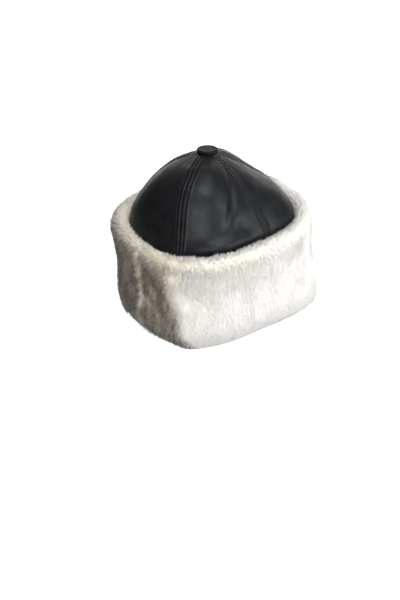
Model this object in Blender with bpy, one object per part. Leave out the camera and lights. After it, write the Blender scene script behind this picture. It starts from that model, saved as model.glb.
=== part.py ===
"""A sheepskin hat: a leather crown of five gores with a covered button on top, inside a deep turned-up
cuff of cream sheared wool. Metres, +Z up, front towards -Y. Angles are degrees round +Z from +X."""

import math

import bpy
from mathutils import Vector

# Plan of the cuff at its rim and at its hem: half sizes, and how square the oval is
RIM_HALF_WIDTH = 0.100
RIM_HALF_LENGTH = 0.123
RIM_SQUARENESS = 2.5
HEM_HALF_WIDTH = 0.097
HEM_HALF_LENGTH = 0.1225
HEM_SQUARENESS = 3.3
HEM_SHIFT_X = -0.0055
HEM_SHIFT_Y = -0.0075

# Wool: how far a lock stands out, and how many locks there are round the cuff and up it
LOCK_RELIEF = 0.0020
LOCKS_ROUND = 50
LOCK_ROWS = 6

# Cuff: its height in the middle, how much higher the rim is at +X and at +Y, and its thickness
CUFF_HEIGHT = 0.1245
RIM_RISE_X = 0.010
RIM_RISE_Y = -0.005
CUFF_THICKNESS = 0.022
CUFF_SEAM_ANGLE = 96.5
CUFF_FOLD_DEPTH = 0.0036
CUFF_COLUMNS = 2 * LOCKS_ROUND
ROLL_STEPS = 7

# Crown: leather, height of its top, how far the top lies from the middle, and how many gores
LEATHER = 0.0015
CROWN_HEIGHT = 0.1995
CROWN_FOOT = 0.0035
TOP_SHIFT_X = 0.002
TOP_SHIFT_Y = 0.0065
GORES = 5
GORE_COLUMNS = 14
WALL_ROWS = 3
FIRST_SEAM_ANGLE = 266.5
GORE_PUFF = 0.0015
FOLD_DEPTH = 0.004

# Button
BUTTON_RADIUS = 0.0127
BUTTON_THICKNESS = 0.0042
SHANK_RADIUS = 0.0022
SHANK_LENGTH = 0.006
SHANK_PLAY = 0.0023
BUTTON_SIDES = 32

# Clearance between pieces, and between the two leathers of a seam
GAP = 0.0003

# Outer face of the cuff, hem to roll. height: share of the rim's height. out: share of CUFF_THICKNESS
CUFF_SECTIONS = (
    {"height": 0.00, "out": -0.36},
    {"height": 0.045, "out": -0.13},
    {"height": 0.11, "out": -0.04},
    {"height": 0.19, "out": 0.00},
    {"height": 0.32, "out": -0.05},
    {"height": 0.55, "out": -0.14},
    {"height": 0.75, "out": -0.07},
    {"height": 0.92, "out": 0.00},
)

# Upright folds of the cuff's face. depth: share of CUFF_FOLD_DEPTH, negative where the cuff swells. angle and
# spread are degrees, and lean is degrees over the face's height
CUFF_FOLDS = (
    {"angle": 121.5, "lean": -9.0, "spread": 6.0, "depth": -1.0},
    {"angle": 107.5, "lean": -9.0, "spread": 7.0, "depth": 1.0},
)
CUFF_ROWS = (0.0, 0.03, 0.07, 0.12, 0.18, 0.25, 0.32, 0.39, 0.46, 0.53, 0.60, 0.67, 0.74, 0.81, 0.87)

# Dome of the crown. height: share of the way from the wall's top to CROWN_HEIGHT. The others are shares of
# the crown's plan: back is the full side, left the full shoulder beside it, and hollow the sunken side
DOME_SECTIONS = (
    {"height": 0.00, "back": 1.00, "left": 1.00, "hollow": 1.00},
    {"height": 0.15, "back": 0.97, "left": 0.925, "hollow": 0.97},
    {"height": 0.30, "back": 0.90, "left": 0.88, "hollow": 0.885},
    {"height": 0.45, "back": 0.81, "left": 0.835, "hollow": 0.765},
    {"height": 0.60, "back": 0.70, "left": 0.78, "hollow": 0.56},
    {"height": 0.75, "back": 0.56, "left": 0.68, "hollow": 0.395},
    {"height": 0.87, "back": 0.42, "left": 0.52, "hollow": 0.245},
    {"height": 0.95, "back": 0.27, "left": 0.35, "hollow": 0.16},
    {"height": 1.00, "back": 0.12, "left": 0.12, "hollow": 0.12},
)
DOME_ROWS = (0.0, 0.08, 0.16, 0.24, 0.32, 0.40, 0.48, 0.56, 0.64, 0.72, 0.79, 0.86, 0.92, 0.965, 1.0)
LEFT_SHOULDER_ANGLE = 122.0
HOLLOW_SIDE_ANGLE = 234.0
SIDE_SPREAD = 85.0

# Folds of the leather. height and reach: shares of the dome's height. depth: share of FOLD_DEPTH, negative
# where the leather swells out. angle and spread are degrees, and lean is degrees over the dome's height
FOLDS = (
    {"angle": 169.0, "lean": 45.0, "spread": 5.5, "height": 0.56, "reach": 0.20, "depth": 0.90},
    {"angle": 176.5, "lean": -36.0, "spread": 5.0, "height": 0.27, "reach": 0.09, "depth": 0.45},
    {"angle": 153.0, "lean": 0.0, "spread": 28.0, "height": 0.16, "reach": 0.095, "depth": -1.60},
    {"angle": 232.0, "lean": 0.0, "spread": 22.0, "height": 0.66, "reach": 0.22, "depth": 0.35},
    {"angle": 90.0, "lean": 0.0, "spread": 24.0, "height": 0.25, "reach": 0.20, "depth": -0.30},
)


def smooth_value(table, key, share, column):
    """The value of a column at a share between the rows of a table, on a cubic through the rows."""
    last = len(table) - 1
    i = 0
    while i < last - 1 and share > table[i + 1][key]:
        i += 1

    def slope(k):
        low, high = max(k - 1, 0), min(k + 1, last)
        return (table[high][column] - table[low][column]) / (table[high][key] - table[low][key])

    width = table[i + 1][key] - table[i][key]
    t = min(max((share - table[i][key]) / width, 0.0), 1.0)
    start, end = table[i][column], table[i + 1][column]
    rise = end - start
    bend = (1 - t) * (slope(i) * width - rise) - t * (slope(i + 1) * width - rise)
    return start + rise * t + bend * t * (1 - t)


def turn_between(angle, middle):
    """The turn in degrees from middle to angle, between -180 and 180."""
    return (angle - middle + 180.0) % 360.0 - 180.0


def oval_radius(angle, half_width, half_length, squareness):
    """Radius of a superellipse at an angle in degrees."""
    c = abs(math.cos(math.radians(angle))) / half_width
    s = abs(math.sin(math.radians(angle))) / half_length
    return (c**squareness + s**squareness) ** (-1.0 / squareness)


def rim_radius(angle):
    return oval_radius(angle, RIM_HALF_WIDTH, RIM_HALF_LENGTH, RIM_SQUARENESS)


def crown_radius(angle):
    """Radius of the crown's wall, which stands just inside the cuff."""
    return rim_radius(angle) - CUFF_THICKNESS - GAP


def angles_by_arc(count, first, radius_at):
    """Angles that part a closed outline into equal lengths, from the first angle on."""
    steps = 720
    fine = [first + 360.0 * k / steps for k in range(steps + 1)]
    points = [Vector((math.cos(math.radians(a)), math.sin(math.radians(a)))) * radius_at(a) for a in fine]
    lengths = [0.0]
    for a, b in zip(points, points[1:]):
        lengths.append(lengths[-1] + (b - a).length)
    angles = []
    k = 0
    for piece in range(count):
        target = lengths[-1] * piece / count
        while lengths[k + 1] < target:
            k += 1
        share = (target - lengths[k]) / (lengths[k + 1] - lengths[k])
        angles.append(fine[k] + share * (fine[k + 1] - fine[k]))
    return angles


def material(name, colour, roughness):
    made = bpy.data.materials.new(name)
    made.use_nodes = True
    shader = made.node_tree.nodes["Principled BSDF"]
    shader.inputs["Base Color"].default_value = (*colour, 1.0)
    shader.inputs["Roughness"].default_value = roughness
    shader.inputs["Metallic"].default_value = 0.0
    return made


def skin(name, rows, closed_round, closed_up, surface, shift):
    """An object whose faces join rows of points. A closed row joins its end to its start, and a closed stack
    its last row to its first. Closed rows in an open stack are capped at both ends."""
    width = len(rows[0])
    across = width if closed_round else width - 1
    up = len(rows) if closed_up else len(rows) - 1
    faces = []
    for j in range(up):
        low = j * width
        high = (j + 1) % len(rows) * width
        for i in range(across):
            k = (i + 1) % width
            faces.append((low + i, low + k, high + k, high + i))
    if closed_round and not closed_up:
        faces.append(tuple(reversed(range(width))))
        faces.append(tuple(range((len(rows) - 1) * width, len(rows) * width)))
    mesh = bpy.data.meshes.new(name)
    mesh.from_pydata([point + shift for row in rows for point in row], [], faces)
    mesh.materials.append(surface)
    mesh.shade_smooth()
    made = bpy.data.objects.new(name, mesh)
    bpy.context.scene.collection.objects.link(made)
    return made


def direction_at(angle):
    return Vector((math.cos(math.radians(angle)), math.sin(math.radians(angle)), 0.0))


# Cuff


def rim_height(angle):
    """Height of the rim above the surface that the hat stands on."""
    reach = rim_radius(angle)
    slope_x = RIM_RISE_X * reach * math.cos(math.radians(angle)) / RIM_HALF_WIDTH
    slope_y = RIM_RISE_Y * reach * math.sin(math.radians(angle)) / RIM_HALF_LENGTH
    return CUFF_HEIGHT + slope_x + slope_y


def lock_relief(angle, around, share):
    """How far the wool stands out at a place on the cuff: upright locks in staggered rows, and the parting
    at the seam. around and share run from 0 to 1, once round the cuff and from the hem to the roll's end."""
    row = share * LOCK_ROWS
    across = math.cos(2 * math.pi * LOCKS_ROUND * around + math.pi * (int(row) % 2))
    along = math.sin(math.pi * (row % 1.0)) ** 0.5
    broad = math.sin(math.radians(5 * angle + 200 * share)) * math.sin(math.radians(9 * angle - 300 * share))
    ends = min(1.0, share / 0.08) * min(1.0, (1.0 - share) / 0.18)
    parting = math.exp(-((turn_between(angle, CUFF_SEAM_ANGLE) / 2.2) ** 2))
    relief = (0.55 * across * along + 0.45 * broad) * (1.0 - parting) - 1.3 * parting
    return LOCK_RELIEF * relief * ends


def face_fold(angle, blend):
    """How far the cuff's upright folds stand out. blend runs from 0 at the hem to 1 where the roll starts."""
    foot = min(1.0, blend / 0.2)
    head = min(max((blend - 0.85) / 0.15, 0.0), 1.0)
    ends = (0.6 + 0.4 * foot * foot * (3 - 2 * foot)) * (1.0 - head * head * (3 - 2 * head))
    out = 0.0
    for fold in CUFF_FOLDS:
        away = turn_between(angle, fold["angle"] + fold["lean"] * (blend - 0.5)) / fold["spread"]
        out -= fold["depth"] * CUFF_FOLD_DEPTH * math.exp(-(away**2))
    return out * ends


def cuff_outline(angle, around):
    """The points of the cuff's cross section at an angle, from the inner foot round the outside and back."""
    direction = direction_at(angle)
    rim = rim_radius(angle)
    hem = oval_radius(angle, HEM_HALF_WIDTH, HEM_HALF_LENGTH, HEM_SQUARENESS)
    top = rim_height(angle)
    roll = CUFF_THICKNESS / 2
    shoulder = 1.0 - roll / top
    steps = len(CUFF_ROWS) + ROLL_STEPS - 1

    points = [direction * (rim - CUFF_THICKNESS)]
    for k, share in enumerate(CUFF_ROWS):
        blend = share / shoulder
        out = smooth_value(CUFF_SECTIONS, "height", share, "out") * CUFF_THICKNESS
        out += lock_relief(angle, around, k / steps) + face_fold(angle, blend)
        shift = Vector((HEM_SHIFT_X, HEM_SHIFT_Y, 0.0)) * (1.0 - blend)
        radius = hem * (1.0 - blend) + rim * blend + out
        points.append(direction * radius + shift + Vector((0.0, 0.0, share * top)))
    for k in range(ROLL_STEPS):
        turn = math.pi * k / (ROLL_STEPS - 1)
        reach = roll + lock_relief(angle, around, (len(CUFF_ROWS) + k) / steps)
        radius = rim - roll + reach * math.cos(turn)
        points.append(direction * radius + Vector((0.0, 0.0, top - roll + reach * math.sin(turn))))
    return points


def cuff_rows():
    """The cuff's points in rows that each go once round the hat."""
    angles = angles_by_arc(CUFF_COLUMNS, CUFF_SEAM_ANGLE, rim_radius)
    outlines = [cuff_outline(angle, k / CUFF_COLUMNS) for k, angle in enumerate(angles)]
    return [list(row) for row in zip(*outlines)]


# Crown


def wall_height(angle):
    """Height at which the crown leaves the cuff and its dome starts."""
    return rim_height(angle) - CUFF_THICKNESS / 2


def side_weight(angle, middle):
    """How much of a side's own section shows at an angle: 1 in its middle, 0 past SIDE_SPREAD."""
    away = min(abs(turn_between(angle, middle)) / SIDE_SPREAD, 1.0)
    return math.cos(away * math.pi / 2) ** 2


def fold_depth(angle, share):
    """How far the folds push the leather in."""
    depth = 0.0
    for fold in FOLDS:
        middle = fold["angle"] + fold["lean"] * (share - fold["height"])
        across = turn_between(angle, middle) / fold["spread"]
        along = (share - fold["height"]) / fold["reach"]
        depth += fold["depth"] * math.exp(-(across**2) - along**2)
    return FOLD_DEPTH * depth


def wall_point(angle, share):
    """A point on the wall inside the cuff. share runs from 0 at the crown's foot to 1 at the wall's top."""
    height = CROWN_FOOT + (wall_height(angle) - CROWN_FOOT) * share
    return direction_at(angle) * crown_radius(angle) + Vector((0.0, 0.0, height))


def dome_point(angle, share, across):
    """A point on the dome's outer face. share runs from 0 at the wall's top to 1 at the crown's, and across
    from 0 to 1 between the gore's seams."""
    left = side_weight(angle, LEFT_SHOULDER_ANGLE)
    hollow = side_weight(angle, HOLLOW_SIDE_ANGLE)
    width = smooth_value(DOME_SECTIONS, "height", share, "back") * (1.0 - left - hollow)
    width += smooth_value(DOME_SECTIONS, "height", share, "left") * left
    width += smooth_value(DOME_SECTIONS, "height", share, "hollow") * hollow
    fade = min(1.0, share / 0.12, (1.0 - share) / 0.12)
    puff = GORE_PUFF * math.sin(math.pi * across) ** 2
    radius = crown_radius(angle) * width + (puff - fold_depth(angle, share)) * fade
    start = wall_height(angle)
    lift = Vector((TOP_SHIFT_X * share, TOP_SHIFT_Y * share, start + (CROWN_HEIGHT - start) * share))
    return direction_at(angle) * radius + lift


def top_point(angle, radius):
    """A point on the flat round the shank's hole, under the button."""
    return direction_at(angle) * radius + Vector((TOP_SHIFT_X, TOP_SHIFT_Y, CROWN_HEIGHT))


def gore_row(start, end, radius, point_at):
    """Points between two seams, half a gap short of each. radius is the size of the row at a seam."""
    trim = math.degrees(GAP / 2 / radius)
    row = []
    for i in range(GORE_COLUMNS + 1):
        across = i / GORE_COLUMNS
        row.append(point_at(start + trim + (end - start - 2 * trim) * across, across))
    return row


def gore_rows(start, end):
    """The outer face of one gore between two seam angles, in rows from its foot to its tip."""
    seam_radius = crown_radius(start)
    rows = []
    for k in range(WALL_ROWS):
        rows.append(gore_row(start, end, seam_radius, lambda angle, across: wall_point(angle, k / WALL_ROWS)))
    for share in DOME_ROWS:
        radius = seam_radius * smooth_value(DOME_SECTIONS, "height", share, "back")
        rows.append(gore_row(start, end, radius, lambda angle, across: dome_point(angle, share, across)))
    hole = SHANK_RADIUS + SHANK_PLAY
    rows.append(gore_row(start, end, hole, lambda angle, across: top_point(angle, hole)))
    return rows


def add_gores(surface, shift):
    """The crown's gores, which meet at seams that part its plan into equal lengths."""
    seams = angles_by_arc(GORES, FIRST_SEAM_ANGLE, crown_radius)
    seams.append(seams[0] + 360.0)
    for number in range(GORES):
        rows = gore_rows(seams[number], seams[number + 1])
        gore = skin(f"crown_panel_{number + 1}", rows, False, False, surface, shift)
        wall = gore.modifiers.new("leather", "SOLIDIFY")
        wall.thickness = LEATHER
        wall.offset = -1.0


# Button


def add_button(surface, shift):
    """The covered button, turned about its axis: shank, flat underside, rounded edge and low top."""
    seat = CROWN_HEIGHT + GAP
    edge = BUTTON_THICKNESS / 2
    profile = [(SHANK_RADIUS, seat - SHANK_LENGTH), (SHANK_RADIUS, seat), (BUTTON_RADIUS - edge * 0.6, seat)]
    for k in range(1, 6):
        turn = math.radians(-90 + 30 * k)
        profile.append((BUTTON_RADIUS - edge + edge * math.cos(turn), seat + edge + edge * math.sin(turn)))
    profile.append((BUTTON_RADIUS * 0.70, seat + BUTTON_THICKNESS * 1.02))
    profile.append((BUTTON_RADIUS * 0.35, seat + BUTTON_THICKNESS * 1.06))
    rows = []
    for radius, height in profile:
        turns = [360.0 * i / BUTTON_SIDES for i in range(BUTTON_SIDES)]
        lift = Vector((TOP_SHIFT_X, TOP_SHIFT_Y, height))
        rows.append([direction_at(turn) * radius + lift for turn in turns])
    skin("crown_button", rows, True, False, surface, shift)


def middle_of(rows):
    """The shift that puts the middle of the footprint's box on the origin."""
    points = [point for row in rows for point in row]
    middle_x = (max(p.x for p in points) + min(p.x for p in points)) / 2
    middle_y = (max(p.y for p in points) + min(p.y for p in points)) / 2
    return Vector((-middle_x, -middle_y, 0.0))


def main():
    for old in list(bpy.data.objects):
        bpy.data.objects.remove(old)
    leather = material("black_leather", (0.018, 0.018, 0.020), 0.42)
    wool = material("cream_wool", (0.86, 0.82, 0.74), 0.95)
    rows = cuff_rows()
    shift = middle_of(rows)
    skin("sheepskin_cuff", rows, True, True, wool, shift)
    add_gores(leather, shift)
    add_button(leather, shift)


main()
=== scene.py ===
"""Looks of the sheepskin hat: sewn leather gores with topstitching, a covered button, and a cuff of sheared
wool made of a backing and many fine fibres. Metres, +Z up, angles in degrees round +Z from +X."""

import math

import bpy
import numpy as np
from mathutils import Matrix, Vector


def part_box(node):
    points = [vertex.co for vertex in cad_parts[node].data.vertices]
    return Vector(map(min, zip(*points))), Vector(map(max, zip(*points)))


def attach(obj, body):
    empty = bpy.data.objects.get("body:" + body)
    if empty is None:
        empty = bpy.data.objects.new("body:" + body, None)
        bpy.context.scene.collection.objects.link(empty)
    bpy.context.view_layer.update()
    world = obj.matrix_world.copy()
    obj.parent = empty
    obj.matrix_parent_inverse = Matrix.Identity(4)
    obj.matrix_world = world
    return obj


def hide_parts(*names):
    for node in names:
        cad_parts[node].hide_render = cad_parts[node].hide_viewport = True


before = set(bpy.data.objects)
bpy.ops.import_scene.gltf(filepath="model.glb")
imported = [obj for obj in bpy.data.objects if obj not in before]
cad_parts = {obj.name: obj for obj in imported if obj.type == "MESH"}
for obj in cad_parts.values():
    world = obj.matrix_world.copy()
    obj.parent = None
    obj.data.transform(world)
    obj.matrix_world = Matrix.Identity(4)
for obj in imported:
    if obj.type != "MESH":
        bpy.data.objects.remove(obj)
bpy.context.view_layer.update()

# Cuff: plan at the rim and the hem, height, slope of the rim and thickness. In CUFF_SECTIONS height is a
# share of the cuff's height, and out is the share of CUFF_THICKNESS by which the face swells. In CUFF_FOLDS
# angle and spread are degrees, lean is degrees over the face's height, and depth is negative where it swells
RIM_HALF_WIDTH = 0.100
RIM_HALF_LENGTH = 0.123
RIM_SQUARENESS = 2.5
HEM_HALF_WIDTH = 0.097
HEM_HALF_LENGTH = 0.1225
HEM_SQUARENESS = 3.3
HEM_SHIFT = np.array([-0.0055, -0.0075, 0.0])
CUFF_HEIGHT = 0.1245
RIM_RISE_X = 0.010
RIM_RISE_Y = -0.005
CUFF_THICKNESS = 0.022
CUFF_SEAM_ANGLE = 96.5
CUFF_SECTIONS = (
    {"height": 0.00, "out": -0.36},
    {"height": 0.045, "out": -0.13},
    {"height": 0.11, "out": -0.04},
    {"height": 0.19, "out": 0.00},
    {"height": 0.32, "out": -0.05},
    {"height": 0.55, "out": -0.14},
    {"height": 0.75, "out": -0.07},
    {"height": 0.92, "out": 0.00},
)
FACE_RUN = 0.77  # share of the way from hem to leather at which the cuff's face becomes its roll
CUFF_FOLDS = (
    {"angle": 121.5, "lean": -9.0, "spread": 6.0, "depth": -0.0036},
    {"angle": 107.5, "lean": -9.0, "spread": 7.0, "depth": 0.0036},
)

# Crown. In DOME_SECTIONS height is the share of the way from the wall's top to CROWN_HEIGHT, and the others
# are shares of the crown's plan: back is the full side, left the full shoulder beside it, and hollow the
# sunken side. In the folds height and reach are shares of the dome's height, depth is a share of FOLD_DEPTH
# and negative where the leather swells, angle and spread are degrees, and lean is degrees over the height
LEATHER = 0.0015
CROWN_HEIGHT = 0.1995
CROWN_FOOT = 0.0035
TOP_SHIFT = np.array([0.002, 0.0065, 0.0])
GORES = 5
FIRST_SEAM_ANGLE = 266.5
GORE_PUFF = 0.0015
FOLD_DEPTH = 0.004
GAP = 0.0003
DOME_FADE = 0.12  # share of the dome's height at each end over which puff and folds fade out
FLAT_DRAW = 0.55  # how far the flat under the button is drawn in to the axis
DOME_SECTIONS = (
    {"height": 0.00, "back": 1.00, "left": 1.00, "hollow": 1.00},
    {"height": 0.15, "back": 0.97, "left": 0.925, "hollow": 0.97},
    {"height": 0.30, "back": 0.90, "left": 0.88, "hollow": 0.885},
    {"height": 0.45, "back": 0.81, "left": 0.835, "hollow": 0.765},
    {"height": 0.60, "back": 0.70, "left": 0.78, "hollow": 0.56},
    {"height": 0.75, "back": 0.56, "left": 0.68, "hollow": 0.395},
    {"height": 0.87, "back": 0.42, "left": 0.52, "hollow": 0.245},
    {"height": 0.95, "back": 0.27, "left": 0.35, "hollow": 0.16},
    {"height": 1.00, "back": 0.12, "left": 0.12, "hollow": 0.12},
)
LEFT_SHOULDER_ANGLE = 122.0
HOLLOW_SIDE_ANGLE = 234.0
SIDE_SPREAD = 85.0
FOLDS = (
    {"angle": 169.0, "lean": 45.0, "spread": 5.5, "height": 0.56, "reach": 0.20, "depth": 0.90},
    {"angle": 176.5, "lean": -36.0, "spread": 5.0, "height": 0.27, "reach": 0.09, "depth": 0.45},
    {"angle": 153.0, "lean": 0.0, "spread": 28.0, "height": 0.16, "reach": 0.095, "depth": -1.60},
    {"angle": 232.0, "lean": 0.0, "spread": 22.0, "height": 0.66, "reach": 0.22, "depth": 0.35},
    {"angle": 90.0, "lean": 0.0, "spread": 24.0, "height": 0.25, "reach": 0.20, "depth": -0.30},
)
SMALL_FOLDS = (  # low relief that the solids leave out
    {"angle": 149.0, "lean": 0.0, "spread": 12.0, "height": 0.165, "reach": 0.05, "depth": -0.42},
)

# Seams: distances from the seam's middle, and the stitches
ALLOWANCE = 0.0064
ALLOWANCE_RISE = 0.00045
GROOVE_WIDTH = 0.0007
GROOVE_DEPTH = 0.0009
STITCH_LINE = 0.0042
STITCH_DIP = 0.0011
STITCH_DIP_WIDTH = 0.0009
STITCH_PITCH = 0.0042
STITCH_LENGTH = 0.0026
THREAD_RADIUS = 0.00062
SEAM_COLUMNS = 0.001 * np.array([0.03, 0.4, 0.8, 1.3, 2.0, 2.8, 3.4, 3.8, 4.2, 4.6, 5.0, 5.6, 6.3, 6.9, 7.8])
MIDDLE_COLUMNS = 32
DOME_ROWS = 140

# Button
BUTTON_RADIUS = 0.0127
BUTTON_THICKNESS = 0.0042
BUTTON_SIDES = 72
BUTTON_PLEATS = 17

# Wool
BACKING_COLUMNS = 360
BACKING_ROWS = 84
FIBRE_LENGTH = 0.0052
FIBRE_WIDTH = 0.00036
FIBRE_INSET = 0.0024
FIBRES_IN_PIECE = 42000
FIBRE_PIECES = 4
TUFTS_ROUND = 170
TUFTS_UP = 36
TUFT_HALF_WIDTH = 0.0020
TUFT_HALF_HEIGHT = 0.0026
TUFT_STRETCH = 0.70  # how much less a distance up counts than one round when a fibre looks for its tuft
STRAY_FIBRES = 1500
STRAY_RINGS = 4
STRAY_SIDES = 3
STRAY_RADIUS = 0.00008
LOWEST_TIP = 0.0004
LOWEST_ROOT = 0.0006
WOOL_ROOT = (0.80, 0.74, 0.66)
WOOL_TIP = (0.965, 0.97, 0.98)
# WOOL_RIM_CREAM_AND_SHADE is partly the rim's cream tone and partly painted shade that darkens the rim
# towards the front
WOOL_RIM_CREAM_AND_SHADE = (0.78, 0.785, 0.735)
# WOOL_WARM_TONE_AND_SHADE is partly a warm tone and partly painted warm shade on the side turned from the
# light
WOOL_WARM_TONE_AND_SHADE = (1.0, 0.93, 0.83)
# WOOL_STAIN_AND_SHADE is partly stain and partly painted shade on the side turned from the light
WOOL_STAIN_AND_SHADE = (0.275, 0.23, 0.175)

# Lengths that shares of the way round the cuff and from hem to leather stand for
LENGTH_ROUND = 0.70
LENGTH_UP = 0.16
RELIEF_LENGTH_UP = 0.158
SEAM_DEGREE = 0.00205

# Leather
LEATHER_DARK = (0.0050, 0.0052, 0.0058)
LEATHER_LIGHT = (0.0092, 0.0095, 0.0104)

# Course of the cuff's sewn seam: degrees from CUFF_SEAM_ANGLE at shares of the way from hem to leather
SEAM_COURSE = (
    {"run": 0.0, "turn": 2.5},
    {"run": 0.06, "turn": 0.5},
    {"run": 0.12, "turn": -2.6},
    {"run": 0.18, "turn": -4.0},
    {"run": 0.27, "turn": -3.4},
    {"run": 0.37, "turn": -1.0},
    {"run": 0.53, "turn": -0.7},
    {"run": 0.70, "turn": 0.8},
    {"run": 1.0, "turn": 1.5},
)

# Camera: fitted to the photo's outline. It looks at a point on the hat's axis, and its azimuth is measured
# from -Y towards +X
VIEW_AZIMUTH = 233.2
VIEW_ELEVATION = 28.1
VIEW_DISTANCE = 1.0
AIM_HEIGHT = 0.060
FOCAL_PIXELS = 797.3
AIM_PIXEL = (212.9, 256.3)
PICTURE_SIZE = (400, 600)

# Light: name, angle, elevation, distance, size, power and colour of each lamp, then room and floor
LAMPS = (
    ("key_lamp", 212.0, 11.0, 2.2, 1.0, 33.0, (1.0, 1.0, 1.0)),
    ("near_lamp", 156.0, 13.0, 2.2, 1.3, 49.0, (1.0, 1.0, 1.0)),
    ("top_lamp", 190.0, 60.0, 2.2, 0.9, 43.0, (0.96, 0.98, 1.0)),
    ("left_lamp", 50.0, 40.0, 2.4, 2.8, 3.0, (1.0, 0.86, 0.70)),
    ("far_lamp", 320.0, 12.0, 2.4, 3.4, 66.0, (1.0, 0.98, 0.95)),
)
LAMP_AIM_HEIGHT = 0.08
ROOM_LIGHT = 0.17
FLOOR_GLOW = 0.78
FLOOR_SIDES = 96
FLOOR_REACH = 4.0
WALL_HEIGHT = 6.0

# Steps for slopes: shares of a gore and of the dome, degrees round the cuff, shares of the way from hem to
# leather, and shares of the way round
FORM_STEP = 0.002
ANGLE_STEP = 0.15
RUN_STEP = 0.004
ROUND_STEP = 0.0006

# How far the frame stands from the source's own axis, read from the button's box
button_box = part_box("crown_button")
FRAME_SHIFT = np.array((button_box[0] + button_box[1]) / 2) * (1.0, 1.0, 0.0) - TOP_SHIFT


# Shape of the hat


def smooth_value(table, key, share, column):
    """A column of a table at shares between its rows, on a cubic through the rows."""
    keys = np.array([row[key] for row in table])
    values = np.array([row[column] for row in table])
    slopes = np.empty(len(keys))
    slopes[1:-1] = (values[2:] - values[:-2]) / (keys[2:] - keys[:-2])
    slopes[0] = (values[1] - values[0]) / (keys[1] - keys[0])
    slopes[-1] = (values[-1] - values[-2]) / (keys[-1] - keys[-2])
    i = np.clip(np.searchsorted(keys, share) - 1, 0, len(keys) - 2)
    width = keys[i + 1] - keys[i]
    t = np.clip((share - keys[i]) / width, 0.0, 1.0)
    rise = values[i + 1] - values[i]
    bend = (1 - t) * (slopes[i] * width - rise) - t * (slopes[i + 1] * width - rise)
    return values[i] + rise * t + bend * t * (1 - t)


def eased(low, high, value):
    """0 below low, 1 above high, with a smooth rise between."""
    t = np.clip((value - low) / (high - low), 0.0, 1.0)
    return t * t * (3 - 2 * t)


def turn_between(angle, middle):
    """The turn in degrees from middle to angle, between -180 and 180."""
    return (angle - middle + 180.0) % 360.0 - 180.0


def oval_radius(angle, half_width, half_length, squareness):
    """Distance from the axis to a squarish oval."""
    c = np.abs(np.cos(np.radians(angle))) / half_width
    s = np.abs(np.sin(np.radians(angle))) / half_length
    return (c**squareness + s**squareness) ** (-1.0 / squareness)


def rim_radius(angle):
    """Distance from the axis to the cuff's face at the rim."""
    return oval_radius(angle, RIM_HALF_WIDTH, RIM_HALF_LENGTH, RIM_SQUARENESS)


def crown_radius(angle):
    """Distance from the axis to the crown's wall."""
    return rim_radius(angle) - CUFF_THICKNESS - GAP


def rim_height(angle):
    """Height of the sloping rim."""
    reach = rim_radius(angle)
    slope_x = RIM_RISE_X * reach * np.cos(np.radians(angle)) / RIM_HALF_WIDTH
    slope_y = RIM_RISE_Y * reach * np.sin(np.radians(angle)) / RIM_HALF_LENGTH
    return CUFF_HEIGHT + slope_x + slope_y


def unit(vectors):
    """Vectors of length 1 in the same directions."""
    return vectors / np.linalg.norm(vectors, axis=-1, keepdims=True)


def square_to(axis):
    """Two unit vectors square to each axis and to each other."""
    along = unit(axis)
    helper = np.where(np.abs(along[:, 2:3]) < 0.9, [[0.0, 0.0, 1.0]], [[1.0, 0.0, 0.0]])
    first = unit(np.cross(along, helper))
    return first, np.cross(along, first)


def around(angle, radius, height):
    """Points at these angles, distances from the axis and heights, before the frame's shift."""
    angle, radius, height = np.broadcast_arrays(angle, radius, height)
    turn = np.radians(angle)
    return np.stack([radius * np.cos(turn), radius * np.sin(turn), height], axis=-1)


def normals_of(surface, u, v, step_u, step_v):
    """Unit normals of surface(u, v), outwards where u goes round and v goes up."""
    along_u = surface(u + step_u, v) - surface(u - step_u, v)
    along_v = surface(u, v + step_v) - surface(u, v - step_v)
    normal = np.cross(along_u, along_v)
    return normal / np.maximum(np.linalg.norm(normal, axis=-1, keepdims=True), 1e-12)


def angles_by_arc(shares, first, radius_at):
    """Angles at shares of the length of a closed outline, from the first angle on."""
    fine = first + np.linspace(0.0, 360.0, 1441)
    points = around(fine, radius_at(fine), 0.0)
    steps = np.linalg.norm(np.diff(points, axis=0), axis=1)
    length = np.concatenate([[0.0], np.cumsum(steps)])
    return np.interp(np.asarray(shares) % 1.0 * length[-1], length, fine)


# Pieces


def add_mesh(name, points, faces, materials, replaced=()):
    """A piece on the hat's body from arrays of points and of faces with the same number of corners."""
    mesh = bpy.data.meshes.new(name)
    corners = faces.shape[1]
    mesh.vertices.add(len(points))
    mesh.vertices.foreach_set("co", np.ascontiguousarray(points, np.float32).ravel())
    mesh.loops.add(faces.size)
    mesh.loops.foreach_set("vertex_index", np.ascontiguousarray(faces, np.int32).ravel())
    mesh.polygons.add(len(faces))
    mesh.polygons.foreach_set("loop_start", np.arange(0, faces.size, corners, dtype=np.int32))
    mesh.update(calc_edges=True)
    mesh.validate()
    for material in materials:
        mesh.materials.append(material)
    mesh.shade_smooth()
    piece = bpy.data.objects.new(name, mesh)
    bpy.context.scene.collection.objects.link(piece)
    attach(piece, "root")
    if replaced:
        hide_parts(*replaced)
    return piece


def grid_faces(rows, columns, closed_round, closed_up):
    """Quads of a grid of points, which may close on itself either way."""
    up = rows if closed_up else rows - 1
    across = columns if closed_round else columns - 1
    j, i = np.meshgrid(np.arange(up), np.arange(across), indexing="ij")
    low, high = j * columns, (j + 1) % rows * columns
    right = (i + 1) % columns
    return np.stack([low + i, low + right, high + right, high + i], axis=-1).reshape(-1, 4)


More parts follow.
